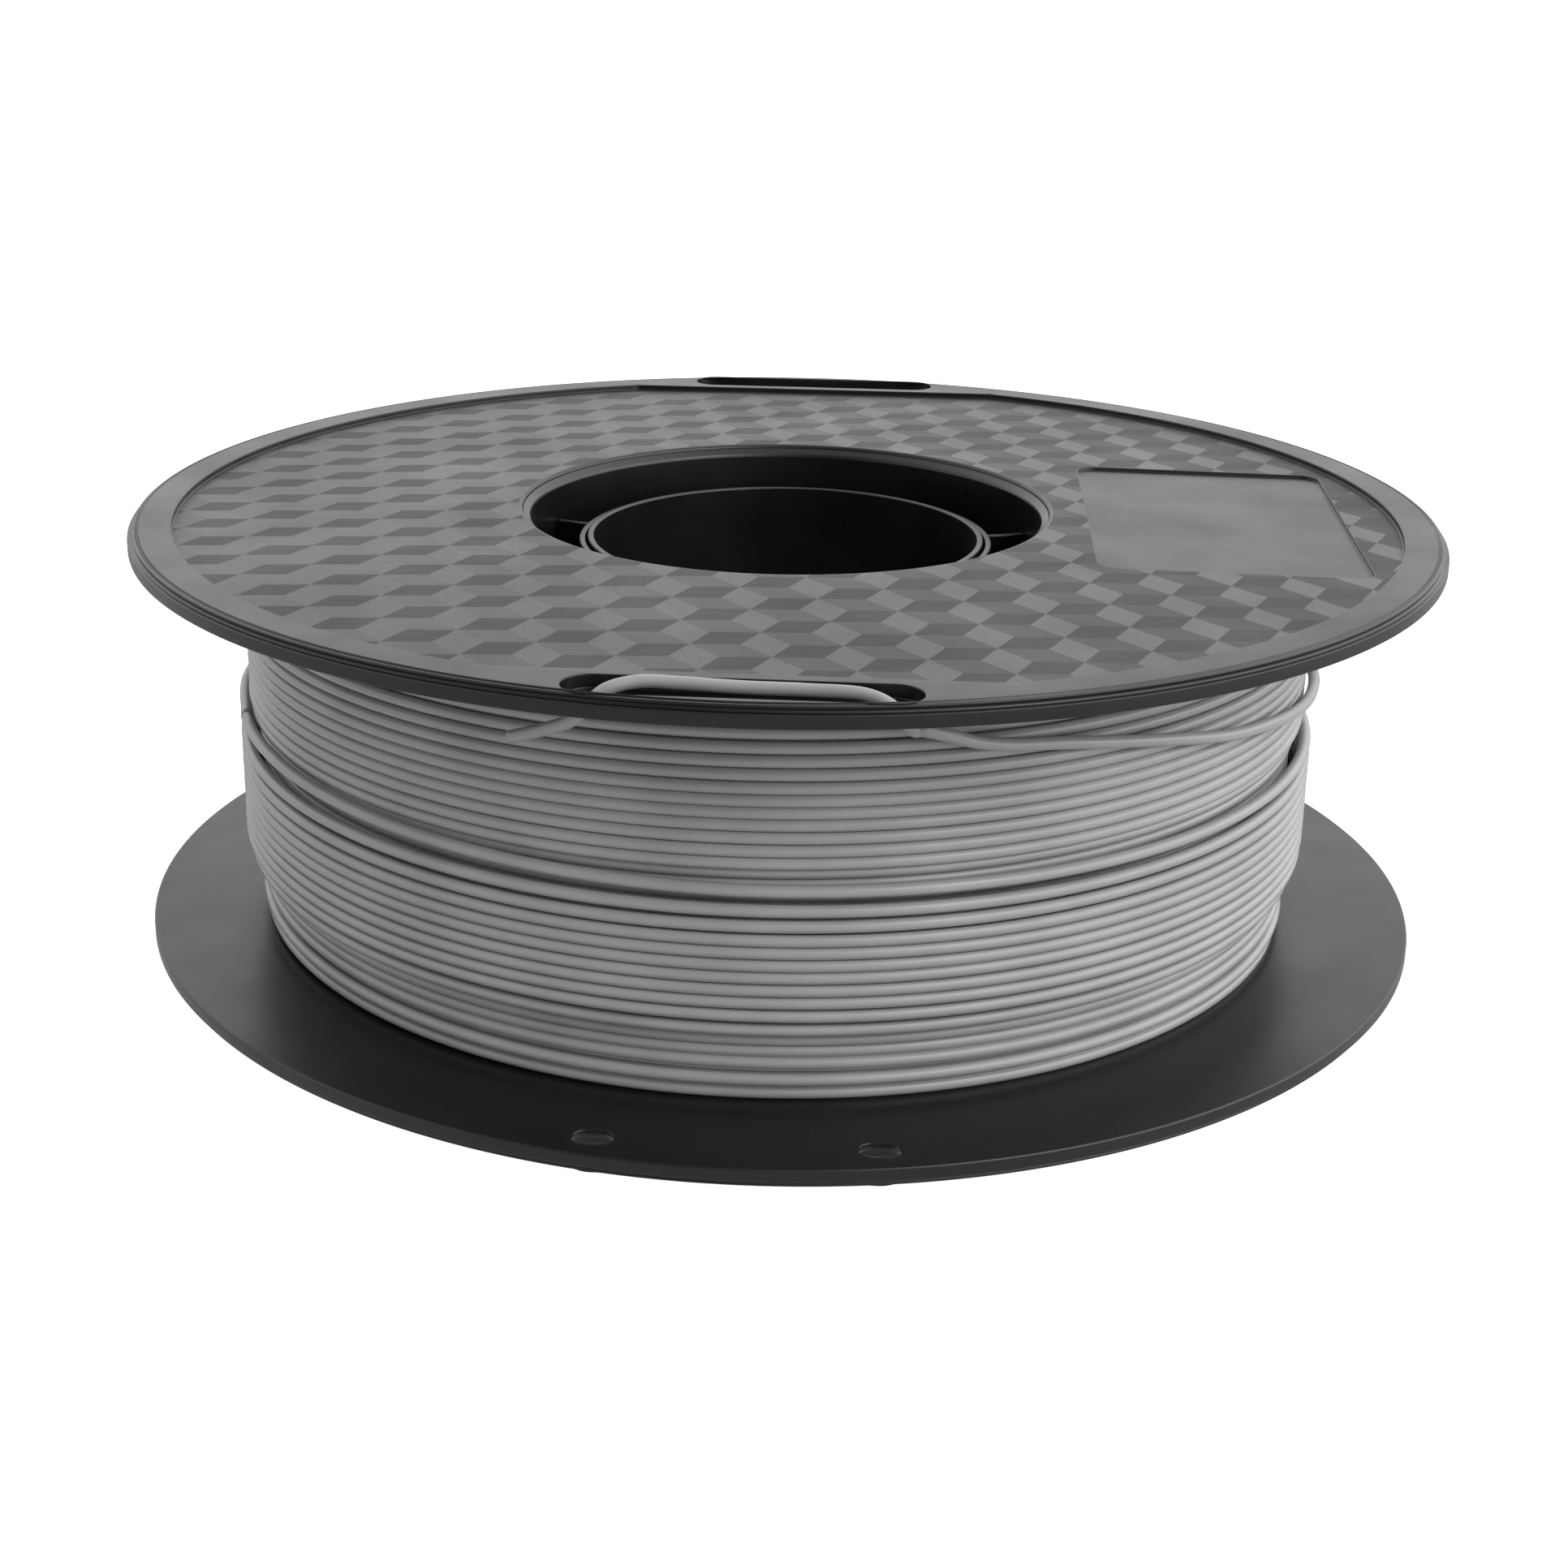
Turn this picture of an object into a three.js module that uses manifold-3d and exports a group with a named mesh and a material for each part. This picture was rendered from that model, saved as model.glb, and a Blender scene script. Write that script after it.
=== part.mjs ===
// Filament spool: two flanges pressed on a winding barrel, a double-walled bore tube held in the
// barrel by five webs, the wound filament, and the free end of the filament threaded through the
// channel in the upper flange. Millimetres, +Z up, origin at the centre of the lower face.

import * as THREE from 'three';
import { mergeVertices } from 'three/addons/utils/BufferGeometryUtils.js';
import Module from 'manifold-3d';

const wasm = await Module();
wasm.setup();

// Driving dimensions
const FLANGE_DIAMETER = 200;
const SPOOL_WIDTH = 65;
const FLANGE_THICKNESS = 3;
const BARREL_OUTER_DIAMETER = 81.4;
const BORE_DIAMETER = 59.6;
const FILAMENT_DIAMETER = 1.75;
const CLEARANCE = 0.3;

// Flange, drawn with its inner face at z = 0 and its outer face at z = FLANGE_THICKNESS
const FLANGE_RADIUS = FLANGE_DIAMETER / 2;
const LIP_RADIUS = FLANGE_RADIUS - 1.6;
const RECESS_RADIUS = 93.5;
const RECESS_CHORD = 87.5;
const RECESS_DEPTH = 0.9;
const RECESS_RISE = 0.75;
const LABEL = { x: 66.2, width: 39.2, height: 63, corner: 3, depth: 0.5 };
const CHANNEL = { y: 93.4, length: 44.4, width: 7.6, depth: 1.9 };
const THREAD_HOLE = { x: 18.7, length: 5.6, width: 3.8 };
const RIM_CHAMFER = 0.4;

// Barrel and bore
const BARREL_RADIUS = BARREL_OUTER_DIAMETER / 2;
const BARREL_WALL = 1.2;
const BARREL_INSET = 0.7;
const BARREL_LEDGE_SLOPE = 0.4;
const HUB_HOLE_RADIUS = BARREL_RADIUS + CLEARANCE;
const BORE_RADIUS = BORE_DIAMETER / 2;
const BORE_TUBE_WALL = 1;
const BORE_TUBE_INSET = 5;
const WEB_COUNT = 5;
const WEB_FIRST_ANGLE = 18;
const WEB_THICKNESS = 1.2;
const WEB_INSET = 7;

// Wound filament: the outer surface at the foot, the sunk turns, and the two halves of the last layer.
// The outer surface stands a little towards -X of the spool's axis.
const WOUND_SHIFT = -1.2;
const WOUND = { foot: 81, sunk: 82.3, lower: 83.6, upper: 82 };
const WOUND_STEPS = { foot: 5.2, sunkTop: 13, lowerFrom: 15.6, lowerTo: 33.2, upperFrom: 33.6 };

// Smoothness of round shapes
const RIM_SEGMENTS = 112;
const BARREL_SEGMENTS = 80;
const TUBE_SEGMENTS = 64;
const CORNER_SEGMENTS = 4;
const TAIL_SIDES = 8;
const TAIL_STEPS = 80;

const flangePlastic = new THREE.MeshStandardMaterial({ color: 0x2b2d30, roughness: 0.42, metalness: 0 });
const hubPlastic = new THREE.MeshStandardMaterial({ color: 0x1c1d1f, roughness: 0.4, metalness: 0 });
const filamentPlastic = new THREE.MeshStandardMaterial({ color: 0x8f9092, roughness: 0.3, metalness: 0 });

const radians = THREE.MathUtils.degToRad;

// A closed mesh as a manifold solid, with only its position left and its shared vertices merged
function toSolid(geometry) {
  const bare = geometry.clone();
  bare.deleteAttribute('normal');
  bare.deleteAttribute('uv');
  const merged = mergeVertices(bare, 1e-4);
  const mesh = new wasm.Mesh({
    numProp: 3,
    vertProperties: new Float32Array(merged.attributes.position.array),
    triVerts: new Uint32Array(merged.index.array),
  });
  return new wasm.Manifold(mesh);
}

function toGeometry(solid) {
  const mesh = solid.getMesh();
  const geometry = new THREE.BufferGeometry();
  geometry.setAttribute('position', new THREE.BufferAttribute(new Float32Array(mesh.vertProperties), 3));
  geometry.setIndex(new THREE.BufferAttribute(new Uint32Array(mesh.triVerts), 1));
  geometry.computeVertexNormals();
  return geometry;
}

// A ring about Z from a closed outline of [radius, height] corners, counter-clockwise
function ring(outline, segments) {
  const points = [...outline, outline[0]].map(([radius, height]) => new THREE.Vector2(radius, height));
  return new THREE.LatheGeometry(points, segments).rotateX(Math.PI / 2);
}

function tube(innerRadius, outerRadius, bottom, top, segments) {
  const outline = [
    [innerRadius, bottom],
    [outerRadius, bottom],
    [outerRadius, top],
    [innerRadius, top],
  ];
  return ring(outline, segments);
}

function extrude(shape, bottom, top) {
  const settings = { depth: top - bottom, bevelEnabled: false, curveSegments: CORNER_SEGMENTS };
  return new THREE.ExtrudeGeometry(shape, settings).translate(0, 0, bottom);
}

// A rectangle with round corners, centred at (x, y)
function roundedRectangle(x, y, width, height, radius) {
  const shape = new THREE.Shape();
  const [left, right] = [x - width / 2, x + width / 2];
  const [low, high] = [y - height / 2, y + height / 2];
  shape.moveTo(left + radius, low);
  shape.lineTo(right - radius, low);
  shape.absarc(right - radius, low + radius, radius, -Math.PI / 2, 0, false);
  shape.lineTo(right, high - radius);
  shape.absarc(right - radius, high - radius, radius, 0, Math.PI / 2, false);
  shape.lineTo(left + radius, high);
  shape.absarc(left + radius, high - radius, radius, Math.PI / 2, Math.PI, false);
  shape.lineTo(left, low + radius);
  shape.absarc(left + radius, low + radius, radius, Math.PI, 1.5 * Math.PI, false);
  return shape;
}

// The outline of the recessed face: a circle cut straight at the front and the back
function recessShape() {
  const cut = Math.asin(RECESS_CHORD / RECESS_RADIUS);
  const shape = new THREE.Shape();
  for (const [from, to] of [[-cut, cut], [Math.PI - cut, Math.PI + cut]]) {
    for (let step = 0; step <= RIM_SEGMENTS / 2; step += 1) {
      const angle = from + ((to - from) * step) / (RIM_SEGMENTS / 2);
      const place = [RECESS_RADIUS * Math.cos(angle), RECESS_RADIUS * Math.sin(angle)];
      if (shape.curves.length === 0 && step === 0 && from === -cut) shape.moveTo(...place);
      else shape.lineTo(...place);
    }
  }
  return shape;
}

// A flange with its recessed face, label pocket and two thread channels
function flangeGeometry() {
  const face = FLANGE_THICKNESS;
  const above = face + 1;
  const disc = ring([
    [HUB_HOLE_RADIUS, 0],
    [FLANGE_RADIUS - RIM_CHAMFER, 0],
    [FLANGE_RADIUS, RIM_CHAMFER],
    [FLANGE_RADIUS, face - 0.8],
    [LIP_RADIUS, face - 0.4],
    [LIP_RADIUS, face],
    [HUB_HOLE_RADIUS, face],
  ], RIM_SEGMENTS);
  const recessFloor = face - RECESS_DEPTH;
  let solid = toSolid(disc).subtract(toSolid(extrude(recessShape(), recessFloor, above)));
  const label = roundedRectangle(LABEL.x, 0, LABEL.width, LABEL.height, LABEL.corner);
  solid = solid.subtract(toSolid(extrude(label, recessFloor - LABEL.depth, above)));
  for (const side of [-1, 1]) {
    const y = side * CHANNEL.y;
    const channel = roundedRectangle(0, y, CHANNEL.length, CHANNEL.width, 0.499 * CHANNEL.width);
    solid = solid.subtract(toSolid(extrude(channel, face - CHANNEL.depth, above)));
    for (const end of [-1, 1]) {
      const { x, length, width } = THREAD_HOLE;
      const hole = roundedRectangle(end * x, y, length, width, 0.499 * width);
      solid = solid.subtract(toSolid(extrude(hole, -1, above)));
    }
  }
  return toGeometry(riseTowardsHub(solid));
}

// The recessed face is a shallow cone: it rises from the lip to the edge of the hub hole
function riseTowardsHub(solid) {
  return solid.warp((vertex) => {
    const radius = Math.hypot(vertex[0], vertex[1]);
    const belowLip = vertex[2] > RIM_CHAMFER && vertex[2] < FLANGE_THICKNESS - 0.05;
    if (belowLip && radius < RECESS_RADIUS) {
      vertex[2] += (RECESS_RISE * (RECESS_RADIUS - radius)) / (RECESS_RADIUS - HUB_HOLE_RADIUS);
    }
  });
}

function barrelGeometry() {
  const inner = BARREL_RADIUS - BARREL_WALL;
  const top = SPOOL_WIDTH - BARREL_INSET;
  return ring([
    [inner, BARREL_INSET + BARREL_LEDGE_SLOPE],
    [BARREL_RADIUS, BARREL_INSET],
    [BARREL_RADIUS, top],
    [inner, top - BARREL_LEDGE_SLOPE],
  ], BARREL_SEGMENTS);
}

function boreTubeGeometry(innerRadius) {
  const top = SPOOL_WIDTH - BORE_TUBE_INSET;
  return tube(innerRadius, innerRadius + BORE_TUBE_WALL, BORE_TUBE_INSET, top, TUBE_SEGMENTS);
}

// The outer wall of the bore tube with the webs that hold it in the barrel
function hubSpiderGeometry() {
  const inner = BORE_RADIUS + BORE_TUBE_WALL + CLEARANCE;
  const rootRadius = inner + BORE_TUBE_WALL / 2;
  const tipRadius = BARREL_RADIUS - BARREL_WALL - CLEARANCE;
  const height = SPOOL_WIDTH - 2 * WEB_INSET;
  let solid = toSolid(boreTubeGeometry(inner));
  for (let web = 0; web < WEB_COUNT; web += 1) {
    const plate = new THREE.BoxGeometry(tipRadius - rootRadius, WEB_THICKNESS, height)
      .translate((tipRadius + rootRadius) / 2, 0, SPOOL_WIDTH / 2)
      .rotateZ(radians(WEB_FIRST_ANGLE + (360 / WEB_COUNT) * web));
    solid = solid.add(toSolid(plate));
  }
  return toGeometry(solid);
}

function woundFilamentGeometry() {
  const inner = BARREL_RADIUS + CLEARANCE;
  const bottom = FLANGE_THICKNESS + CLEARANCE;
  const top = SPOOL_WIDTH - FLANGE_THICKNESS - CLEARANCE;
  const outside = ring([
    [0, bottom],
    [WOUND.foot, bottom],
    [WOUND.sunk, WOUND_STEPS.foot],
    [WOUND.sunk, WOUND_STEPS.sunkTop],
    [WOUND.lower, WOUND_STEPS.lowerFrom],
    [WOUND.lower, WOUND_STEPS.lowerTo],
    [WOUND.upper, WOUND_STEPS.upperFrom],
    [WOUND.upper, top],
    [0, top],
  ], RIM_SEGMENTS).translate(WOUND_SHIFT, 0, 0);
  const core = new THREE.CylinderGeometry(inner, inner, 2 * SPOOL_WIDTH, BARREL_SEGMENTS).rotateX(Math.PI / 2);
  return toGeometry(toSolid(outside).subtract(toSolid(core)));
}

// The free end of the filament. Round the wound package, about its own axis: [degrees, radius, height].
const TAIL_ROUND_PACKAGE = [
  [200, 83.2, 36.4], [186, 83.3, 36.9], [168, 83.3, 37.5], [148, 83.3, 38.2], [124, 83.3, 39.0],
  [100, 83.3, 39.8], [76, 83.3, 40.5], [52, 83.3, 41.1], [30, 83.4, 41.6], [10, 83.5, 41.9],
  [-4, 83.6, 42.1], [-14, 83.4, 42.7], [-22, 83.3, 43.9], [-30, 83.3, 45.4], [-38.5, 83.3, 47.0],
  [-46.4, 83.3, 49.1], [-53.7, 83.3, 50.8], [-60, 83.3, 52.1], [-65.5, 83.4, 52.9], [-69, 84.0, 54.0],
  [-72, 85.6, 55.8], [-74.6, 88.0, 57.5],
];

// Up through one thread hole, along the channel, down the other and out below: [x, y, height]
const TAIL_THROUGH_FLANGE = [
  [20.9, -90.3, 59.4], [19.5, -93.1, 61.8], [18.2, -93.5, 63.4], [15.2, -92.8, 64.5], [8, -92.0, 64.6],
  [0, -91.8, 64.6], [-8, -91.5, 64.8], [-12.8, -91.8, 64.9], [-16.6, -92.9, 64.1], [-18.8, -93.5, 62.3],
  [-20.6, -92.6, 60.1], [-24.2, -90.2, 57.9], [-29.4, -87.4, 55.6],
];

function tailGeometry() {
  const onPackage = TAIL_ROUND_PACKAGE.map(([angle, radius, height]) => {
    const turn = radians(angle);
    return new THREE.Vector3(WOUND_SHIFT + radius * Math.cos(turn), radius * Math.sin(turn), height);
  });
  const throughFlange = TAIL_THROUGH_FLANGE.map((place) => new THREE.Vector3(...place));
  const route = new THREE.CatmullRomCurve3([...onPackage, ...throughFlange], false, 'centripetal');
  const section = new THREE.Shape();
  for (let side = 0; side < TAIL_SIDES; side += 1) {
    const angle = (side / TAIL_SIDES) * 2 * Math.PI;
    const place = [(FILAMENT_DIAMETER / 2) * Math.cos(angle), (FILAMENT_DIAMETER / 2) * Math.sin(angle)];
    if (side === 0) section.moveTo(...place);
    else section.lineTo(...place);
  }
  return new THREE.ExtrudeGeometry(section, { steps: TAIL_STEPS, extrudePath: route, bevelEnabled: false });
}

const spool = new THREE.Group();

function addPart(name, geometry, material) {
  const mesh = new THREE.Mesh(geometry, material);
  mesh.name = name;
  spool.add(mesh);
  return mesh;
}

const upperFlange = addPart('upper_flange', flangeGeometry(), flangePlastic);
upperFlange.position.z = SPOOL_WIDTH - FLANGE_THICKNESS;
const lowerFlange = addPart('lower_flange', flangeGeometry(), flangePlastic);
lowerFlange.rotation.x = Math.PI;
lowerFlange.position.z = FLANGE_THICKNESS;
addPart('winding_barrel', barrelGeometry(), hubPlastic);
addPart('bore_tube_inner', boreTubeGeometry(BORE_RADIUS), hubPlastic);
addPart('bore_tube_outer_with_webs', hubSpiderGeometry(), hubPlastic);
addPart('wound_filament', woundFilamentGeometry(), filamentPlastic);
addPart('filament_free_end', tailGeometry(), filamentPlastic);

export default spool;
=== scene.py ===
"""Looks of the filament spool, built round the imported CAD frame. Metres, +Z up."""

import math

import bmesh
import bpy
import numpy as np
from mathutils import Matrix, Vector, noise
from mathutils.geometry import delaunay_2d_cdt


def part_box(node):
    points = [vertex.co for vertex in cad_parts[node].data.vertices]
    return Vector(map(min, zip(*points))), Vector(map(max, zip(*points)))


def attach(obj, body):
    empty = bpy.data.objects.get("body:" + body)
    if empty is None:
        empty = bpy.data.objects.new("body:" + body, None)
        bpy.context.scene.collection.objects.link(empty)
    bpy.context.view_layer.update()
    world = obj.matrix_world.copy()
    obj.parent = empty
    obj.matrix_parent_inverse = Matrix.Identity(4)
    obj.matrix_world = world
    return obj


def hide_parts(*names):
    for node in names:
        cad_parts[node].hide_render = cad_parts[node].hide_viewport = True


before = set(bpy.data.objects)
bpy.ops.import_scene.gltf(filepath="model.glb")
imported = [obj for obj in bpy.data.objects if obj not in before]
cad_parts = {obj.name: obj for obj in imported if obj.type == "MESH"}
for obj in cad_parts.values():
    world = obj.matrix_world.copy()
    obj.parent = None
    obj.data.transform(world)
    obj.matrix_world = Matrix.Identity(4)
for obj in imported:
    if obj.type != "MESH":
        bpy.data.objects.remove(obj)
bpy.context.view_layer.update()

MM = 0.001
BODY = "root"

# ---------------------------------------------------------------- sizes, from the frame
UPPER_LOW, UPPER_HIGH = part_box("upper_flange")
BARREL_LOW, BARREL_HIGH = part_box("winding_barrel")
INNER_LOW, INNER_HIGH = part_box("bore_tube_inner")

FLANGE_RADIUS = UPPER_HIGH.x / MM
WIDTH = UPPER_HIGH.z / MM
FLANGE_THICKNESS = (UPPER_HIGH.z - UPPER_LOW.z) / MM
BARREL_RADIUS = BARREL_HIGH.x / MM
BARREL_INSET = BARREL_LOW.z / MM
TUBE_TOP = INNER_HIGH.z / MM
TUBE_BOTTOM = INNER_LOW.z / MM
INNER_TUBE_RADIUS = INNER_HIGH.x / MM

# ---------------------------------------------------------------- sizes of the detail, in mm
LIP_RADIUS = 98.35
RECESS = {"radius": 93.5, "chord": 87.5, "corner": 3.0, "depth": 0.9, "rise": 0.75}
LABEL = {"x": 66.2, "width": 39.2, "height": 63.0, "corner": 3.0, "depth": 0.5}
CHANNEL = {"y": 93.4, "length": 44.4, "width": 7.6, "depth": 1.9}
THREAD_HOLE = {"x": 18.7, "length": 5.6, "width": 3.8}
HUB_HOLE_RADIUS = BARREL_RADIUS + 0.3
BARREL_WALL = 1.2
TUBE_WALL = 1.0
TUBE_GAP = 0.3
WEB_COUNT = 5
WEB_FIRST_ANGLE = 18.0
WEB_THICKNESS = 1.2
WEB_DROP = 2.0
WEB_EDGE = 0.2
SLEEVE_DROP = 0.5
FILAMENT = 1.75
PACKAGE_SHIFT = -1.2
EDGE = 0.18
FLOOR_GLOW = 0.95
RIM_POINTS = 360
HUB_POINTS = 192


# ---------------------------------------------------------------- camera
def aim(camera, place, heading, pitch, roll):
    """Turns the camera to a heading (degrees from +Y towards +X) and a pitch below the horizon."""
    turn, dip, lean = (math.radians(a) for a in (heading, pitch, roll))
    forward = Vector((math.sin(turn) * math.cos(dip), math.cos(turn) * math.cos(dip), -math.sin(dip)))
    level = Vector((math.cos(turn), -math.sin(turn), 0))
    right = level * math.cos(lean) + level.cross(forward) * math.sin(lean)
    up = right.cross(forward)
    camera.matrix_world = Matrix.Translation(place) @ Matrix((right, up, -forward)).transposed().to_4x4()


def make_camera():
    """The view from the front and a little above, with the frame shifted slightly to the right."""
    data = bpy.data.cameras.new("camera")
    data.sensor_width = 36
    data.lens = 58.15
    data.shift_x = 0.0350
    data.clip_start = 0.01
    camera = bpy.data.objects.new("camera", data)
    bpy.context.scene.collection.objects.link(camera)
    azimuth, distance, height = math.radians(3.0), 0.3846, 0.1606
    place = Vector((distance * math.sin(azimuth), -distance * math.cos(azimuth), height))
    aim(camera, place, heading=-4.235, pitch=20.33, roll=0.647)
    bpy.context.scene.camera = camera


make_camera()

# ---------------------------------------------------------------- the free end of the filament
# The route round the wound package is [degrees, radius, height] about the package's own axis; through
# the flange it is [x, y, height]. Both are the CAD node's route, in mm.
TAIL_ROUND_PACKAGE = [
    (200, 83.2, 36.4), (186, 83.3, 36.9), (168, 83.3, 37.5), (148, 83.3, 38.2), (124, 83.3, 39.0),
    (100, 83.3, 39.8), (76, 83.3, 40.5), (52, 83.3, 41.1), (30, 83.4, 41.6), (10, 83.5, 41.9),
    (-4, 83.6, 42.1), (-14, 83.4, 42.7), (-22, 83.3, 43.9), (-30, 83.3, 45.4), (-38.5, 83.3, 47.0),
    (-46.4, 83.3, 49.1), (-53.7, 83.3, 50.8), (-60, 83.3, 52.1), (-65.5, 83.4, 52.9), (-69, 84.0, 54.0),
    (-72, 85.6, 55.8), (-74.6, 88.0, 57.5),
]
TAIL_THROUGH_FLANGE = [
    (20.9, -90.3, 59.4), (19.5, -93.1, 61.8), (18.2, -93.5, 63.4), (15.2, -92.8, 64.5), (8, -92.0, 64.6),
    (0, -91.8, 64.6), (-8, -91.5, 64.8), (-12.8, -91.8, 64.9), (-16.6, -92.9, 64.1), (-18.8, -93.5, 62.3),
    (-20.6, -92.6, 60.1), (-24.2, -90.2, 57.9), (-29.4, -87.4, 55.6),
]


def polar(angle, radius, height):
    turn = math.radians(angle)
    return Vector((radius * math.cos(turn), radius * math.sin(turn), height))


def catmull_rom(points, steps):
    """A smooth line through every point, with knots spaced by the root of the distance between them."""
    ends = [2 * points[0] - points[1], *points, 2 * points[-1] - points[-2]]
    line = []
    for p0, p1, p2, p3 in zip(ends, ends[1:], ends[2:], ends[3:]):
        t1 = math.sqrt((p1 - p0).length)
        t2 = t1 + math.sqrt((p2 - p1).length)
        t3 = t2 + math.sqrt((p3 - p2).length)
        for step in range(steps):
            t = t1 + (t2 - t1) * step / steps
            a1 = p0 * ((t1 - t) / t1) + p1 * (t / t1)
            a2 = p1 * ((t2 - t) / (t2 - t1)) + p2 * ((t - t1) / (t2 - t1))
            a3 = p2 * ((t3 - t) / (t3 - t2)) + p3 * ((t - t2) / (t3 - t2))
            b1 = a1 * ((t2 - t) / t2) + a2 * (t / t2)
            b2 = a2 * ((t3 - t) / (t3 - t1)) + a3 * ((t - t1) / (t3 - t1))
            line.append(b1 * ((t2 - t) / (t2 - t1)) + b2 * ((t - t1) / (t2 - t1)))
    line.append(points[-1].copy())
    return line


def sweep(line, sides, radius):
    """Points and faces of a round tube along a line, closed at both ends."""
    along = [(b - a).normalized() for a, b in zip([line[0], *line[:-1]], [line[1], *line[1:]])]
    points, faces = [], []
    side = along[0].orthogonal().normalized()
    for place, forward in zip(line, along):
        side = (side - forward * side.dot(forward)).normalized()
        up = forward.cross(side)
        for step in range(sides):
            angle = 2 * math.pi * step / sides
            points.append(place + (side * math.cos(angle) + up * math.sin(angle)) * radius)
    for row in range(len(line) - 1):
        for i in range(sides):
            j = (i + 1) % sides
            start = row * sides
            faces.append((start + i, start + j, start + sides + j, start + sides + i))
    last = (len(line) - 1) * sides
    faces.append(tuple(range(sides - 1, -1, -1)))
    faces.append(tuple(range(last, last + sides)))
    return points, faces


def make_free_end():
    """The strand's free end: off the last turn, over the package, and through the flange's channel."""
    shift = Vector((PACKAGE_SHIFT, 0, 0))
    route = [shift + polar(*place) for place in TAIL_ROUND_PACKAGE]
    route += [Vector(place) for place in TAIL_THROUGH_FLANGE]
    line = [point * MM for point in catmull_rom(route, 12)]
    points, faces = sweep(line, 16, FILAMENT / 2 * MM)
    mesh = bpy.data.meshes.new("filament_strand_end")
    mesh.from_pydata(points, [], faces)
    mesh.polygons.foreach_set("use_smooth", [len(face) == 4 for face in faces])
    strand = bpy.data.objects.new("filament_strand_end", mesh)
    bpy.context.scene.collection.objects.link(strand)
    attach(strand, BODY)
    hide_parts("filament_free_end")
    return strand


free_end = make_free_end()


# ---------------------------------------------------------------- mesh helpers (all in mm until the end)
class MeshBuilder:
    """Collects points and faces in mm, and makes one object with merged points and even normals."""

    def __init__(self):
        self.points = []
        self.faces = []
        self.slots = []

    def add(self, points, faces, slot=0):
        start = len(self.points)
        self.points.extend(points)
        self.faces.extend([tuple(start + i for i in face) for face in faces])
        self.slots.extend([slot] * len(faces))

    def loft(self, loops, slot=0):
        """Joins closed loops of the same number of points, in turn, with strips of four-sided faces."""
        count = len(loops[0])
        faces = []
        for row in range(len(loops) - 1):
            for i in range(count):
                j = (i + 1) % count
                here, above = row * count, (row + 1) * count
                faces.append((here + i, here + j, above + j, above + i))
        self.add([point for loop in loops for point in loop], faces, slot)

    def flat(self, outer, holes, height, slot=0, extra=()):
        """Fills a flat region between an outer outline and its holes, at one height."""
        outlines = [outer, *holes]
        flat_points = [Vector(point[:2]) for outline in outlines for point in outline]
        edges = []
        start = 0
        for outline in outlines:
            count = len(outline)
            edges.extend((start + i, start + (i + 1) % count) for i in range(count))
            start += count
        for place in extra:
            if within(*place, outer) and not any(within(*place, hole) for hole in holes):
                flat_points.append(Vector(place))
        points, _, triangles, *_ = delaunay_2d_cdt(flat_points, edges, [], 0, 1e-7)
        kept = [t for t in triangles if self.inside(points, t, outer, holes)]
        self.add([(p.x, p.y, height) for p in points], kept, slot)

    @staticmethod
    def inside(points, triangle, outer, holes):
        x, y = sum((points[i] for i in triangle), Vector((0, 0))) / 3
        return within(x, y, outer) and not any(within(x, y, hole) for hole in holes)

    def build(self, name, materials, smooth=True):
        mesh = bpy.data.meshes.new(name)
        mesh.from_pydata([tuple(c * MM for c in point) for point in self.points], [], self.faces)
        mesh.polygons.foreach_set("material_index", self.slots)
        edit = bmesh.new()
        edit.from_mesh(mesh)
        bmesh.ops.remove_doubles(edit, verts=edit.verts, dist=0.002 * MM)
        bmesh.ops.recalc_face_normals(edit, faces=edit.faces)
        edit.to_mesh(mesh)
        edit.free()
        mesh.polygons.foreach_set("use_smooth", [smooth] * len(mesh.polygons))
        piece = bpy.data.objects.new(name, mesh)
        bpy.context.scene.collection.objects.link(piece)
        for material in materials:
            mesh.materials.append(material)
        even = piece.modifiers.new("even_normals", "WEIGHTED_NORMAL")
        even.keep_sharp = True
        return piece


def within(x, y, outline):
    """True if (x, y) is inside the outline."""
    odd = False
    ax, ay = outline[-1][:2]
    for point in outline:
        bx, by = point[:2]
        if (ay > y) != (by > y) and x < (bx - ax) * (y - ay) / (by - ay) + ax:
            odd = not odd
        ax, ay = bx, by
    return odd


def circle(radius, height, count):
    return [tuple(polar(360 * i / count, radius, height)) for i in range(count)]


def rounded_box(shape_x, shape_y, width, length, corner, height, corner_points=10):
    """A rectangle with round corners, counter-clockwise, as points at one height."""
    points = []
    for quarter, (side_x, side_y) in enumerate([(1, 1), (-1, 1), (-1, -1), (1, -1)]):
        centre_x = shape_x + side_x * (width / 2 - corner)
        centre_y = shape_y + side_y * (length / 2 - corner)
        for step in range(corner_points + 1):
            angle = math.radians(90 * (quarter + step / corner_points))
            x, y = centre_x + corner * math.cos(angle), centre_y + corner * math.sin(angle)
            points.append((x, y, height))
    return points


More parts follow.
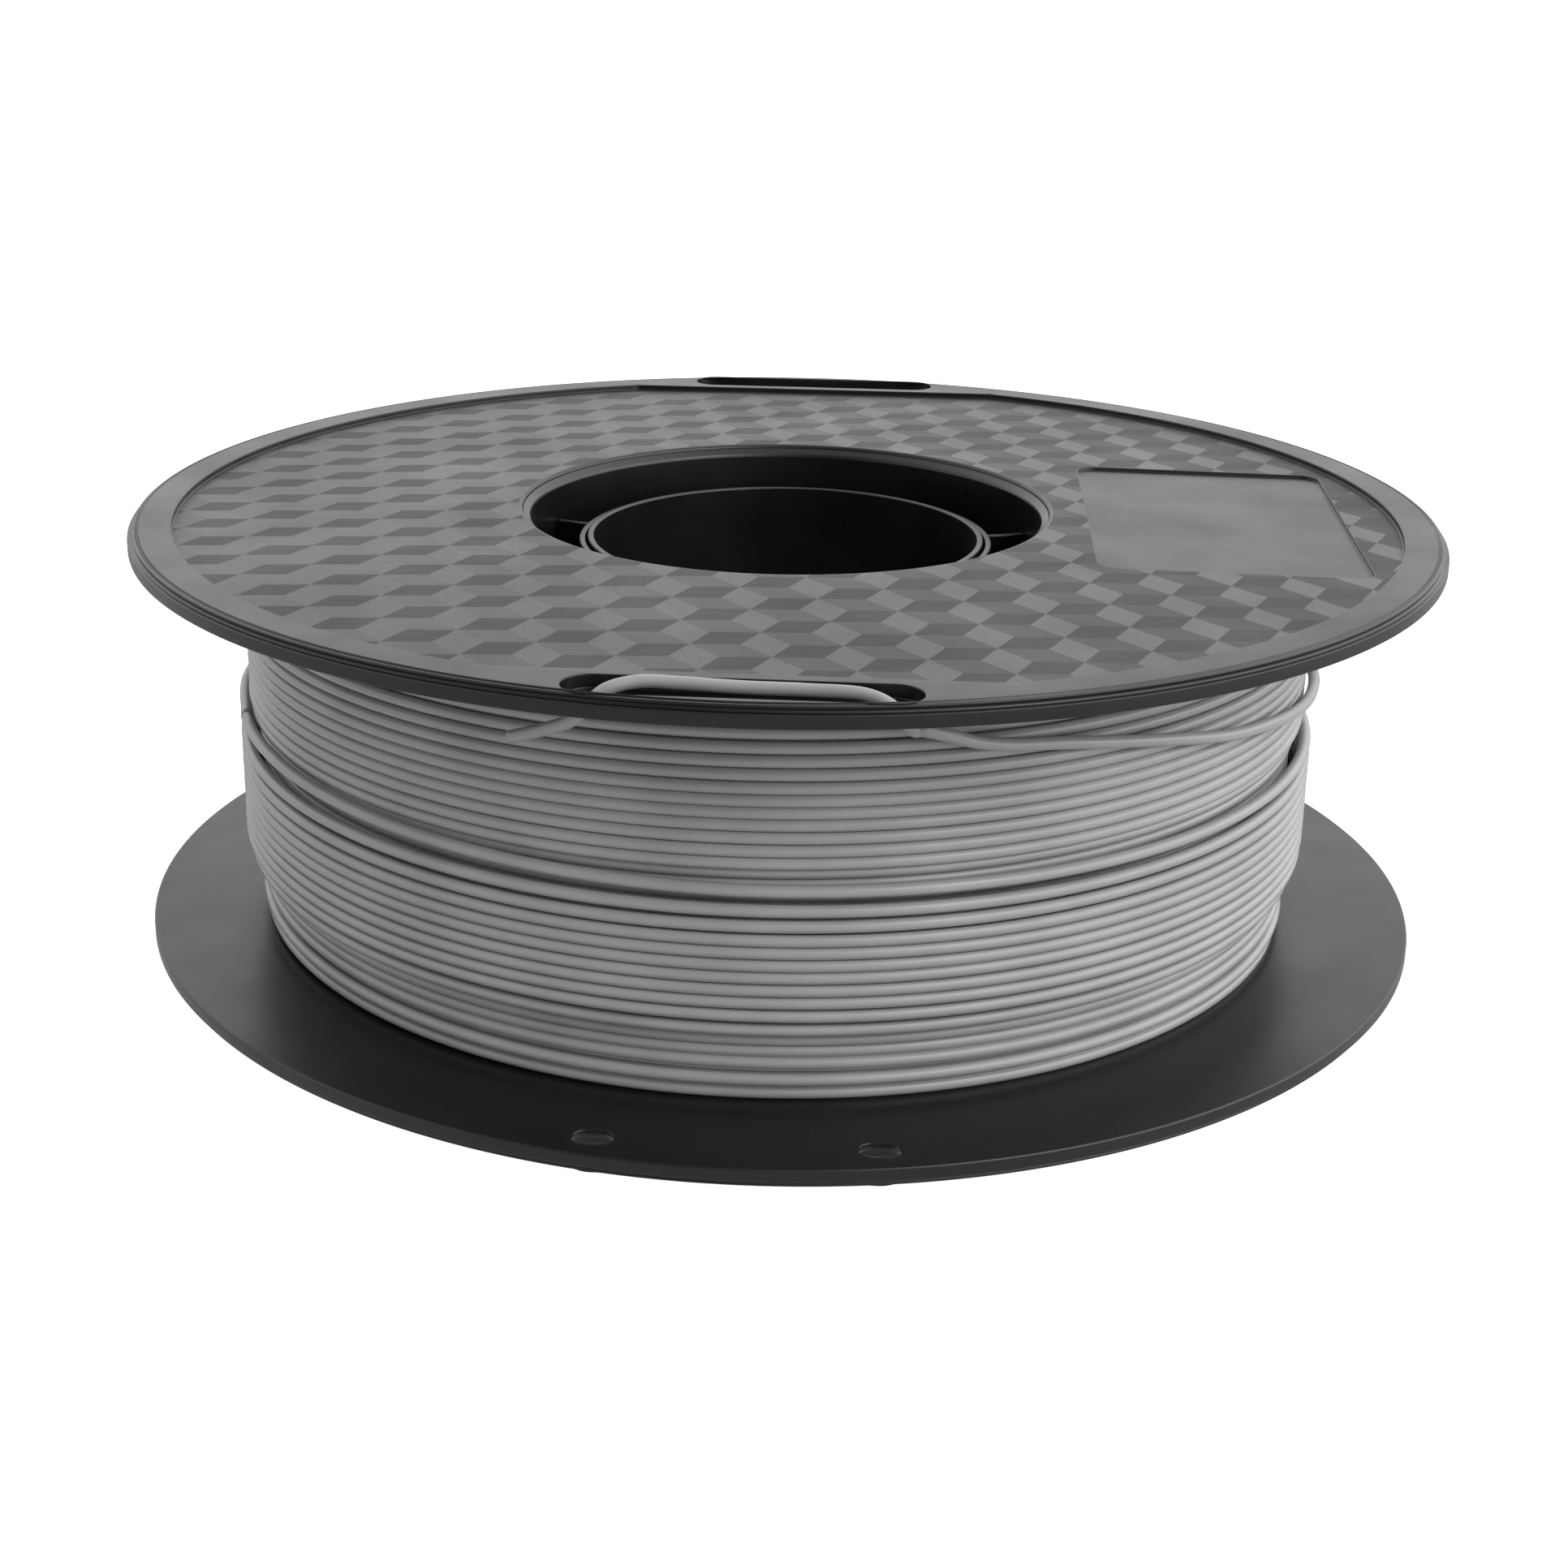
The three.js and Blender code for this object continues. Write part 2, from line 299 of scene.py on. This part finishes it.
def recess_outline(grow, height):
    """The circle of the recessed face cut by two chords, with its four corners rounded."""
    radius, chord, corner = RECESS["radius"] + grow, RECESS["chord"] + grow, RECESS["corner"] + grow
    inner_y = chord - corner
    inner_x = math.sqrt((radius - corner) ** 2 - inner_y**2)
    lean = math.atan2(inner_y, inner_x)
    points = []
    for side in (0, 1):
        half_turn = math.pi * side
        for step in range(120):
            angle = -lean + 2 * lean * step / 120 + half_turn
            points.append((radius * math.cos(angle), radius * math.sin(angle), height))
        centre = Vector((inner_x, inner_y)) if side == 0 else Vector((-inner_x, -inner_y))
        for step in range(9):
            angle = lean + (math.pi / 2 - lean) * step / 8 + half_turn
            x, y = centre.x + corner * math.cos(angle), centre.y + corner * math.sin(angle)
            points.append((x, y, height))
        centre = Vector((-inner_x, inner_y)) if side == 0 else Vector((inner_x, -inner_y))
        for step in range(8):
            angle = math.pi / 2 + (math.pi / 2 - lean) * step / 8 + half_turn
            x, y = centre.x + corner * math.cos(angle), centre.y + corner * math.sin(angle)
            points.append((x, y, height))
    return points


def wall_steps(top, bottom, edge=EDGE, floor_edge=EDGE, parts=4):
    """A wall's (growth, height) pairs from the upper face down, with a rounded rim and a rounded foot."""
    steps = []
    for part in range(parts + 1):
        angle = math.pi / 2 * part / parts
        steps.append((edge * (1 - math.sin(angle)), top - edge * (1 - math.cos(angle))))
    for part in range(parts + 1):
        angle = math.pi / 2 * part / parts
        steps.append((-floor_edge * (1 - math.cos(angle)), bottom + floor_edge * (1 - math.sin(angle))))
    return steps


# ---------------------------------------------------------------- flanges
def label_outline(grow, height):
    return rounded_box(
        LABEL["x"], 0, LABEL["width"] + 2 * grow, LABEL["height"] + 2 * grow, LABEL["corner"] + grow, height
    )


def channel_outline(side, grow, height):
    width = CHANNEL["width"] + 2 * grow
    return rounded_box(
        0, side * CHANNEL["y"], CHANNEL["length"] + 2 * grow, width, 0.49 * width, height
    )


def thread_hole_outline(side, end, grow, height):
    length = THREAD_HOLE["length"] + 2 * grow
    width = THREAD_HOLE["width"] + 2 * grow
    x, y = end * THREAD_HOLE["x"], side * CHANNEL["y"]
    return rounded_box(x, y, length, width, 0.49 * width, height, 8)


def rise_towards_hub(x, y, z):
    """The recessed face is a shallow cone: it rises from the lip to the edge of the hub hole."""
    radius = math.hypot(x, y)
    if radius < RECESS["radius"] and 0.4 < z < FLANGE_THICKNESS - 0.05:
        z += RECESS["rise"] * (RECESS["radius"] - radius) / (RECESS["radius"] - HUB_HOLE_RADIUS)
    return x, y, z


# The rim from the flat lip outwards and down: [radius, height below the outer face]
RIM_PROFILE = [
    (LIP_RADIUS - 0.12, 0), (LIP_RADIUS - 0.03, 0.03), (LIP_RADIUS, 0.12), (98.42, 0.32), (98.55, 0.38),
    (98.68, 0.32), (98.78, 0.18), (98.95, 0.1), (99.12, 0.12), (99.25, 0.22), (99.28, 0.36),
    (99.2, 0.52), (99.14, 0.75), (99.2, 0.96), (99.42, 1.08), (99.78, 1.08), (99.92, 1.11), (FLANGE_RADIUS, 1.2),
]
FOOT_OF_RIM = [(FLANGE_RADIUS, 0.32), (99.95, 0.15), (99.82, 0.05), (99.65, 0)]
# The hub hole from the recessed face down: [mm outside the hole's radius, height in the flange]. It
# closes on the drum, so that the face runs into the drum's sloping top without a groove.
HUB_FACE = FLANGE_THICKNESS - RECESS["depth"]
HUB_PROFILE = [
    (0.35, HUB_FACE), (0.12, HUB_FACE - 0.05), (-0.1, HUB_FACE - 0.17), (-0.24, HUB_FACE - 0.36),
    (-0.28, HUB_FACE - 0.6), (-0.28, EDGE), (-0.28 + EDGE, 0),
]


def flange_mesh(name, materials, outer_up):
    """One flange: rim, lip, recessed patterned face, label pocket, two channels and their holes."""
    top = FLANGE_THICKNESS
    recess_floor = top - RECESS["depth"]
    label_floor = recess_floor - LABEL["depth"]
    channel_floor = top - CHANNEL["depth"]
    sides, ends = (-1, 1), (-1, 1)
    build = MeshBuilder()

    rim = [circle(radius, top - drop, RIM_POINTS) for radius, drop in RIM_PROFILE]
    rim += [circle(radius, height, RIM_POINTS) for radius, height in FOOT_OF_RIM]
    build.loft(rim)
    walls = [(recess_outline, (), top, recess_floor, 0), (label_outline, (), recess_floor, label_floor, 0)]
    walls += [(channel_outline, (side,), top, channel_floor, 0) for side in sides]
    for outline, which, high, low, slot in walls:
        build.loft([outline(*which, grow, height) for grow, height in wall_steps(high, low)], slot)
    for side in sides:
        for end in ends:
            steps = [(EDGE, channel_floor), (0.05, channel_floor - 0.05), (0, channel_floor - EDGE)]
            steps += [(0, EDGE), (0.05, 0.05), (EDGE, 0)]
            build.loft([thread_hole_outline(side, end, grow, height) for grow, height in steps])
    build.loft([circle(HUB_HOLE_RADIUS + grow, height, HUB_POINTS) for grow, height in HUB_PROFILE])

    rings = [tuple(polar(3 * step, radius, 0))[:2] for radius in range(44, 98, 4) for step in range(120)]
    channels = [channel_outline(side, EDGE, top) for side in sides]
    holes = [thread_hole_outline(side, end, EDGE, 0) for side in sides for end in ends]
    hub_edge = circle(HUB_HOLE_RADIUS + HUB_PROFILE[0][0], 0, HUB_POINTS)
    back_edge = circle(HUB_HOLE_RADIUS + HUB_PROFILE[-1][0], 0, HUB_POINTS)
    build.flat(rim[0], [recess_outline(EDGE, top), *channels], top, extra=rings)
    recess_holes = [label_outline(EDGE, 0), hub_edge]
    build.flat(recess_outline(-EDGE, 0), recess_holes, recess_floor, slot=1, extra=rings)
    build.flat(label_outline(-EDGE, 0), [], label_floor, extra=rings)
    for side in sides:
        own = [thread_hole_outline(side, end, EDGE, 0) for end in ends]
        build.flat(channel_outline(side, -EDGE, 0), own, channel_floor)
    build.flat(rim[-1], [back_edge, *holes], 0)

    build.points = [rise_towards_hub(*point) for point in build.points]
    flange = build.build(name, materials)
    if outer_up:
        flange.data.transform(Matrix.Translation((0, 0, (WIDTH - FLANGE_THICKNESS) * MM)))
    else:
        turned_over = Matrix.Rotation(math.pi, 4, "X")
        flange.data.transform(Matrix.Translation((0, 0, FLANGE_THICKNESS * MM)) @ turned_over)
    return flange


# ---------------------------------------------------------------- materials
class Nodes:
    """Short calls for building a procedural material."""

    def __init__(self, name):
        self.material = bpy.data.materials.new(name)
        self.material.use_nodes = True
        self.tree = self.material.node_tree
        self.shader = self.tree.nodes["Principled BSDF"]

    def node(self, kind, **settings):
        node = self.tree.nodes.new(kind)
        for key, value in settings.items():
            setattr(node, key, value)
        return node

    def link(self, value, socket):
        """Connects a node's socket, or sets a plain value."""
        if isinstance(value, bpy.types.NodeSocket):
            self.tree.links.new(value, socket)
        else:
            socket.default_value = value

    def math(self, operation, *values):
        node = self.node("ShaderNodeMath", operation=operation)
        for value, socket in zip(values, node.inputs):
            self.link(value, socket)
        return node.outputs[0]

    def vector(self, operation, *values):
        node = self.node("ShaderNodeVectorMath", operation=operation)
        for value, socket in zip(values, node.inputs):
            self.link(value, socket)
        return node.outputs["Value"] if operation in ("DOT_PRODUCT", "LENGTH") else node.outputs["Vector"]

    def place(self):
        """The point on the object, in mm."""
        return self.vector("MULTIPLY", self.node("ShaderNodeTexCoord").outputs["Object"], (1 / MM,) * 3)

    def noise(self, place, scale, detail=3.0, roughness=0.5):
        node = self.node("ShaderNodeTexNoise")
        self.link(place, node.inputs["Vector"])
        node.inputs["Scale"].default_value = scale
        node.inputs["Detail"].default_value = detail
        node.inputs["Roughness"].default_value = roughness
        return node.outputs["Fac"]

    def span(self, value, low, high, from_low=0.3, from_high=0.7):
        """Maps a noise value to a range."""
        node = self.node("ShaderNodeMapRange")
        for item, socket in zip((value, from_low, from_high, low, high), node.inputs):
            self.link(item, socket)
        return node.outputs[0]

    def mix(self, factor, first, second):
        node = self.node("ShaderNodeMix", data_type="RGBA")
        self.link(factor, node.inputs["Factor"])
        self.link(first, node.inputs["A"] if isinstance(first, float) else node.inputs[6])
        self.link(second, node.inputs[7])
        return node.outputs[2]

    def bump(self, height, depth, normal=None):
        """A relief of a given depth in mm."""
        node = self.node("ShaderNodeBump")
        node.inputs["Distance"].default_value = depth * MM
        self.link(height, node.inputs["Height"])
        if normal is not None:
            self.link(normal, node.inputs["Normal"])
        return node.outputs["Normal"]


def grey(value, tint=0.0):
    """A nearly neutral colour, a little blue for a positive tint."""
    return (value * (1 - tint), value, value * (1 + tint), 1)


def black_plastic(name, base=0.003, roughness=0.34, facets=False):
    """Moulded black plastic with a fine grain, faint handling marks, and the facets with their painted sheen
    where asked.
    """
    nodes = Nodes(name)
    place = nodes.place()
    smudge = nodes.noise(place, 0.045, 4, 0.6)
    grain = nodes.noise(place, 3.2, 2)
    shade = nodes.mix(nodes.span(smudge, 0, 1), grey(base * 0.85, 0.04), grey(base * 1.2, 0.02))
    rough = nodes.span(smudge, roughness - 0.05, roughness + 0.06)
    normal = nodes.bump(grain, 0.006)
    if facets:
        shade, rough, normal = facet_pattern(nodes, place, shade, rough, normal)
    nodes.link(shade, nodes.shader.inputs["Base Color"])
    nodes.link(rough, nodes.shader.inputs["Roughness"])
    nodes.link(normal, nodes.shader.inputs["Normal"])
    nodes.shader.inputs["IOR"].default_value = 1.5
    return nodes.material


# The facets are rhombi of three kinds, tiled like stacked cubes. Two edges and one corner fix them, in mm.
FACET_EDGE_A = Vector((6.59, 0.44))
FACET_EDGE_B = Vector((2.24, 5.27))
FACET_CORNER = Vector((-3.2, -1.9))
RIB_PITCH = 0.43


def facet_pattern(nodes, place, shade, rough, normal):
    """Gives each kind of rhombus its own direction of fine ribs and its own gloss, and paints in their sheen:
    each kind's base grey is set lighter or darker to stand in for how its ribs reflect the light.
    """
    a, b = FACET_EDGE_A, FACET_EDGE_B
    area = a.x * b.y - a.y * b.x
    moved = nodes.vector("SUBTRACT", place, (*FACET_CORNER, 0))
    along_a = nodes.vector("DOT_PRODUCT", moved, (b.y / area, -b.x / area, 0))
    along_b = nodes.vector("DOT_PRODUCT", moved, (-a.y / area, a.x / area, 0))
    cell = nodes.math("SUBTRACT", nodes.math("FLOOR", along_a), nodes.math("FLOOR", along_b))
    kind = nodes.math("FLOORED_MODULO", cell, 3.0)
    inside = nodes.math("ADD", nodes.math("FRACT", along_a), nodes.math("FRACT", along_b))
    past = nodes.math("GREATER_THAN", inside, 1.0)
    first = nodes.math("LESS_THAN", kind, 0.5)
    last = nodes.math("GREATER_THAN", kind, 1.5)
    middle = nodes.math("SUBTRACT", nodes.math("SUBTRACT", 1.0, first), last)
    upright = nodes.math(
        "ADD", nodes.math("MULTIPLY", last, past),
        nodes.math("MULTIPLY", middle, nodes.math("SUBTRACT", 1.0, past)),
    )
    flat = nodes.math("SUBTRACT", nodes.math("SUBTRACT", 1.0, first), upright)
    relief = 0.0
    for share, direction, depth in ((first, a, 0.3), (upright, b, 1.0), (flat, b - a, 0.35)):
        across = Vector((-direction.y, direction.x)).normalized() * (2 * math.pi / RIB_PITCH)
        wave = nodes.math("SINE", nodes.vector("DOT_PRODUCT", place, (*across, 0)))
        relief = nodes.math("MULTIPLY_ADD", nodes.math("MULTIPLY", share, depth), wave, relief)
    # Painted sheen: these three greys stand in for the differing reflection off each kind's ribs; the plastic
    # itself is one black.
    shade = nodes.mix(first, shade, grey(0.002, 0.05))
    shade = nodes.mix(upright, shade, grey(0.022, 0.01))
    shade = nodes.mix(flat, shade, grey(0.014, 0.02))
    rough = nodes.math("ADD", rough, nodes.math("MULTIPLY", first, 0.17))
    leaning = nodes.span(nodes.vector("DOT_PRODUCT", place, (1, 0, 0)), 0.03, 0.17, -60.0, 90.0)
    rough = nodes.math("ADD", rough, nodes.math("MULTIPLY", flat, leaning))
    return shade, rough, nodes.bump(relief, 0.022, normal)


def strand_plastic(name):
    """Grey extruded strand, semi-gloss, with fine changes of gloss and slow changes of shade along it."""
    nodes = Nodes(name)
    place = nodes.place()
    slow = nodes.noise(place, 0.06, 2)
    fine = nodes.noise(place, 0.5, 2)
    shade = nodes.mix(nodes.span(slow, 0, 1), grey(0.27, 0.015), grey(0.32, 0.0))
    nodes.link(shade, nodes.shader.inputs["Base Color"])
    nodes.link(nodes.span(fine, 0.28, 0.34), nodes.shader.inputs["Roughness"])
    nodes.shader.inputs["IOR"].default_value = 1.5
    return nodes.material


def floor_material():
    """Pale paper that glows evenly, except in the spool's own shadow beneath it."""
    nodes = Nodes("pale_floor")
    nodes.shader.inputs["Base Color"].default_value = (0.6, 0.6, 0.6, 1)
    nodes.shader.inputs["Roughness"].default_value = 0.9
    nodes.shader.inputs["Specular IOR Level"].default_value = 0.0
    nodes.shader.inputs["Emission Color"].default_value = (1, 1, 1, 1)
    beyond = nodes.span(nodes.vector("LENGTH", nodes.place()), 0.0, FLOOR_GLOW, 94.0, 96.5)
    nodes.link(beyond, nodes.shader.inputs["Emission Strength"])
    return nodes.material


flange_plastic = black_plastic("flange_plastic")
facet_plastic = black_plastic("flange_facets", facets=True)
hub_plastic = black_plastic("hub_plastic", base=0.004, roughness=0.3)
filament_plastic = strand_plastic("filament_plastic")
free_end.data.materials.append(filament_plastic)


def adopt(piece, node):
    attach(piece, BODY)
    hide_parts(node)


for half, faces_up in (("upper", True), ("lower", False)):
    moulding = flange_mesh(f"{half}_flange_moulding", [flange_plastic, facet_plastic], faces_up)
    adopt(moulding, f"{half}_flange")


# ---------------------------------------------------------------- barrel, bore tubes and webs
def ring_mesh(name, outline, materials, count=HUB_POINTS):
    """A body of revolution from a closed outline of (radius, height)."""
    build = MeshBuilder()
    loops = [circle(radius, height, count) for radius, height in outline]
    build.loft([*loops, loops[0]])
    return build.build(name, materials)


def soft_corners(outline, size, parts=3):
    """The outline with each corner rounded by a small arc-like curve."""
    points = []
    count = len(outline)
    for i, corner in enumerate(outline):
        corner = Vector(corner)
        before = (Vector(outline[i - 1]) - corner).normalized() * size
        after = (Vector(outline[(i + 1) % count]) - corner).normalized() * size
        for part in range(parts + 1):
            t = part / parts
            points.append(tuple(corner + before * (1 - t) ** 2 + after * t**2))
    return points


def make_barrel():
    inner = BARREL_RADIUS - BARREL_WALL
    top = WIDTH - BARREL_INSET
    low = BARREL_INSET
    outline = [
        (inner, low + 1.2), (inner + 0.15, low + 0.75), (BARREL_RADIUS, low),
        (BARREL_RADIUS, top), (inner + 0.15, top - 0.75), (inner, top - 1.2),
    ]
    drum = ring_mesh("winding_drum", soft_corners(outline, 0.12), [hub_plastic])
    adopt(drum, "winding_barrel")


def tube_outline(inner, top, bottom):
    outer = inner + TUBE_WALL
    return soft_corners([(inner, bottom), (outer, bottom), (outer, top), (inner, top)], 0.25)


def make_bore_tubes():
    inner = INNER_TUBE_RADIUS - TUBE_WALL
    tube = ring_mesh("bore_tube_liner", tube_outline(inner, TUBE_TOP, TUBE_BOTTOM), [hub_plastic])
    adopt(tube, "bore_tube_inner")
    build = MeshBuilder()
    outer = INNER_TUBE_RADIUS + TUBE_GAP
    outline = tube_outline(outer, TUBE_TOP - SLEEVE_DROP, TUBE_BOTTOM + SLEEVE_DROP)
    loops = [circle(radius, height, HUB_POINTS) for radius, height in outline]
    build.loft([*loops, loops[0]])
    root, tip = outer + TUBE_WALL - 0.1, BARREL_RADIUS - BARREL_WALL - TUBE_GAP
    low, high, full = TUBE_BOTTOM + WEB_DROP, TUBE_TOP - WEB_DROP, WEB_THICKNESS / 2
    for web in range(WEB_COUNT):
        turn = Matrix.Rotation(math.radians(WEB_FIRST_ANGLE + 360 / WEB_COUNT * web), 4, "Z")
        rings = []
        for height, half in ((low, full - WEB_EDGE), (low + WEB_EDGE, full),
                             (high - WEB_EDGE, full), (high, full - WEB_EDGE)):
            corners = [(root, -half), (tip, -half), (tip, half), (root, half)]
            rings.append([tuple(turn @ Vector((x, y, height))) for x, y in corners])
        build.loft(rings)
        build.add(rings[0], [(3, 2, 1, 0)])
        build.add(rings[-1], [(0, 1, 2, 3)])
    sleeve = build.build("bore_tube_sleeve_with_webs", [hub_plastic])
    adopt(sleeve, "bore_tube_outer_with_webs")


make_barrel()
make_bore_tubes()

# ---------------------------------------------------------------- the wound filament
# Each layer is wound clockwise seen from above. Its passes are (height, radius of the strand's centre) at
# the front, in mm, in the order they were wound; "before" and "after" are the turns outside the passes.
UNDER_LAYER = {
    "before": 0.5, "after": 0.4, "end": (61.2, 79.9),
    "passes": [(4.2 + 1.76 * k, 79.9) for k in range(33)],
}
UPPER_LAYER = {
    "before": 0.4, "after": 1.5, "end": (33.2, 80.2),
    "passes": [(z, 81.4) for z in (61.0, 59.2, 57.2, 55.25, 53.25, 51.4, 49.55, 47.75, 46.05, 44.35, 42.65)]
    + [(40.9, 81.4), (39.15, 81.5), (37.4, 81.5), (35.8, 80.6)],
}
LAST_LAYER = {
    "before": 0.5, "after": 0.1944, "end": (36.4, 83.2),
    "passes": [(3.9, 80.3), (6.0, 80.9), (8.4, 80.5), (10.15, 80.4), (11.9, 80.7), (14.15, 82.4)]
    + [(z, 83.0) for z in (16.4, 18.25, 20.05, 21.9, 23.65, 25.4, 27.2, 29.2, 31.4, 34.2)],
}
START_DIP = 3.0
STEPS_PER_TURN = 150


def layer_line(layer, seed):
    """The strand's centre line through a layer, as arrays of angle, radius and height."""
    passes = layer["passes"]
    last = len(passes) - 1
    turns = [*range(last + 1), last + layer["after"]]
    heights, radii = np.array([*passes, layer["end"]]).T
    t = np.linspace(-layer["before"], turns[-1], int((turns[-1] + layer["before"]) * STEPS_PER_TURN) + 1)
    lead_in = np.minimum(t, 0) * (heights[1] - heights[0])
    wander = np.array([noise.noise(Vector((seed, k * 0.045, 0))) for k in range(len(t))])
    swell = np.array([noise.noise(Vector((seed + 7, k * 0.03, 3))) for k in range(len(t))])
    settle = np.clip((turns[-1] - t) * 8, 0, 1)
    buried = START_DIP * np.clip(1 - (t + layer["before"]) / 0.3, 0, 1)
    height = np.interp(t, turns, heights) + lead_in + 0.1 * wander * settle
    return -90 - 360 * t, np.interp(t, turns, radii) + 0.06 * swell * settle - buried, height


def strand_mesh(name, lines, sides, materials):
    """One mesh of round strands along centre lines that go round the Z axis."""
    points, faces = [], []
    ring_angle = np.linspace(0, 2 * math.pi, sides, endpoint=False)
    half = FILAMENT / 2
    start = 0
    for angle, radius, height in lines:
        turn = np.radians(angle)[:, None]
        out = radius[:, None] + half * np.cos(ring_angle)[None, :]
        up = height[:, None] + half * np.sin(ring_angle)[None, :]
        x, y = PACKAGE_SHIFT + out * np.cos(turn), out * np.sin(turn)
        block = np.stack([x, y, up], axis=-1).reshape(-1, 3)
        count = len(angle)
        rows = np.arange(count - 1)[:, None] * sides + start
        i = np.arange(sides)[None, :]
        j = (i + 1) % sides
        quads = np.stack([rows + i, rows + j, rows + sides + j, rows + sides + i], axis=-1).reshape(-1, 4)
        faces.extend(quads.tolist())
        faces.append(tuple(range(start + sides - 1, start - 1, -1)))
        faces.append(tuple(range(start + (count - 1) * sides, start + count * sides)))
        points.append(block)
        start += count * sides
    mesh = bpy.data.meshes.new(name)
    mesh.from_pydata((np.concatenate(points) * MM).tolist(), [], faces)
    edit = bmesh.new()
    edit.from_mesh(mesh)
    bmesh.ops.recalc_face_normals(edit, faces=edit.faces)
    edit.to_mesh(mesh)
    edit.free()
    mesh.polygons.foreach_set("use_smooth", [len(face.vertices) == 4 for face in mesh.polygons])
    for material in materials:
        mesh.materials.append(material)
    piece = bpy.data.objects.new(name, mesh)
    bpy.context.scene.collection.objects.link(piece)
    return piece


def make_wound_filament():
    bottom, top = FLANGE_THICKNESS + 0.3, WIDTH - FLANGE_THICKNESS - 0.3
    inner = BARREL_RADIUS + 0.3
    outline = soft_corners([(inner, bottom), (79.3, bottom), (79.3, top), (inner, top)], 0.3)
    core = ring_mesh("filament_core", outline, [filament_plastic], RIM_POINTS)
    adopt(core, "wound_filament")
    lines = [layer_line(UNDER_LAYER, 3.0), layer_line(UPPER_LAYER, 17.0), layer_line(LAST_LAYER, 31.0)]
    strand = strand_mesh("filament_turns", lines, 12, [filament_plastic])
    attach(strand, BODY)


make_wound_filament()


# ---------------------------------------------------------------- floor and light
def make_floor():
    bpy.ops.mesh.primitive_plane_add(size=8, location=(0, 0, -0.0002))
    floor = bpy.context.object
    floor.name = "floor"
    floor.visible_diffuse = False
    floor.visible_glossy = False
    floor.data.materials.append(floor_material())


def area_light(name, place, target, size, power):
    data = bpy.data.lights.new(name, "AREA")
    data.shape = "RECTANGLE"
    data.size, data.size_y = size
    data.energy = power
    light = bpy.data.objects.new(name, data)
    light.location = place
    light.rotation_mode = "QUATERNION"
    light.rotation_quaternion = (Vector(target) - Vector(place)).to_track_quat("-Z", "Y")
    bpy.context.scene.collection.objects.link(light)


# Brightness of the studio by direction. Each glow is (direction, brightness added there, how tightly it
# keeps to that direction); AMBIENT is everywhere above the table line and BELOW everywhere under it.
AMBIENT = 0.30
GLOWS = [
    ((0.0, 1.0, 0.2), 1.0, 1.5), ((1.0, -0.25, 0.25), 3.0, 1.8), ((-1.0, -0.1, 0.1), 0.95, 1.6),
    ((0.0, 0.1, 1.0), 0.15, 2.0), ((0.0, -1.0, 0.5), -0.4, 1.2),
]
BELOW = 0.66


def make_world():
    """A soft studio: bright behind and at the sides, dimmer in front, even below the table line."""
    world = bpy.data.worlds.new("studio")
    world.use_nodes = True
    tree = world.node_tree
    background = tree.nodes["Background"]

    def calc(operation, *values):
        node = tree.nodes.new("ShaderNodeMath")
        node.operation = operation
        for value, socket in zip(values, node.inputs):
            if isinstance(value, float):
                socket.default_value = value
            else:
                tree.links.new(value, socket)
        return node.outputs[0]

    direction = tree.nodes.new("ShaderNodeTexCoord").outputs["Generated"]
    split = tree.nodes.new("ShaderNodeSeparateXYZ")
    tree.links.new(direction, split.inputs[0])
    total = AMBIENT
    for toward, strength, sharpness in GLOWS:
        dot = tree.nodes.new("ShaderNodeVectorMath")
        dot.operation = "DOT_PRODUCT"
        tree.links.new(direction, dot.inputs[0])
        dot.inputs[1].default_value = Vector(toward).normalized()
        facing = calc("POWER", calc("MAXIMUM", dot.outputs["Value"], 0.0), float(sharpness))
        total = calc("MULTIPLY_ADD", facing, float(strength), total)
    above = tree.nodes.new("ShaderNodeMapRange")
    above.interpolation_type = "SMOOTHSTEP"
    tree.links.new(split.outputs["Z"], above.inputs[0])
    for socket, value in zip(above.inputs[1:5], (-0.06, 0.03, 0.0, 1.0)):
        socket.default_value = value
    total = calc("MULTIPLY_ADD", calc("SUBTRACT", total, BELOW), above.outputs[0], BELOW)
    seen = tree.nodes.new("ShaderNodeLightPath").outputs["Is Camera Ray"]
    tree.links.new(calc("MAXIMUM", total, seen), background.inputs["Strength"])
    background.inputs["Color"].default_value = (1, 1, 1, 1)
    bpy.context.scene.world = world


make_floor()
make_world()
area_light("key", (0.82, -0.88, 0.95), (0, 0, 0.03), (0.6, 0.4), 4)
bpy.context.scene.view_settings.view_transform = "Standard"
